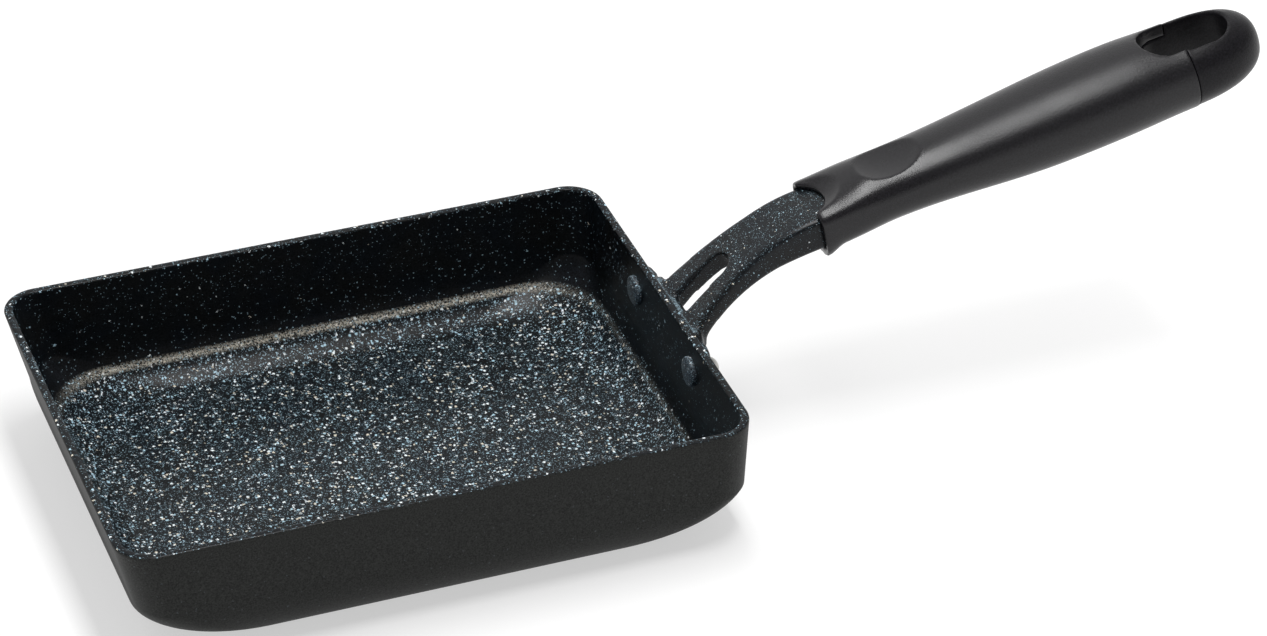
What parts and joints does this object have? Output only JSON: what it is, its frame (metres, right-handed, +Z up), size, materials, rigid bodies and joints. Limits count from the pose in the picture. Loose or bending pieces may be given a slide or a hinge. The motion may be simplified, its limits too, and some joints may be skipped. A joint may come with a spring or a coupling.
{
  "type": "tamagoyaki pan",
  "caption": "Rectangular rolled-omelette pan with a speckled non-stick coating, a sloped front wall, a riveted fork bracket and a straight moulded grip with a hang slot.",
  "frame": {"origin": "On the underside of the flat base, below the middle of the rim.", "axes": "+X runs from the pan towards the handle, +Y across the pan, +Z up out of its mouth."},
  "size_m": [0.3704, 0.142, 0.1012],
  "materials": {
    "coated_aluminium": "satin charcoal non-stick coating with fine pale specks",
    "rivet_aluminium": "satin, the inner heads coated like the pan",
    "die_cast_aluminium": "matte black coating with sparse pale specks",
    "phenolic": "matte black, finely grained",
    "plated_steel": "bright zinc plating"
  },
  "bodies": {
    "root": {"pan_body": "coated_aluminium", "rivets": "rivet_aluminium", "handle_bracket": "die_cast_aluminium", "grip": "phenolic", "end_cap": "phenolic", "handle_screw": "plated_steel", "spring_washer": "plated_steel", "flat_washer": "plated_steel"}
  },
  "joints": []
}
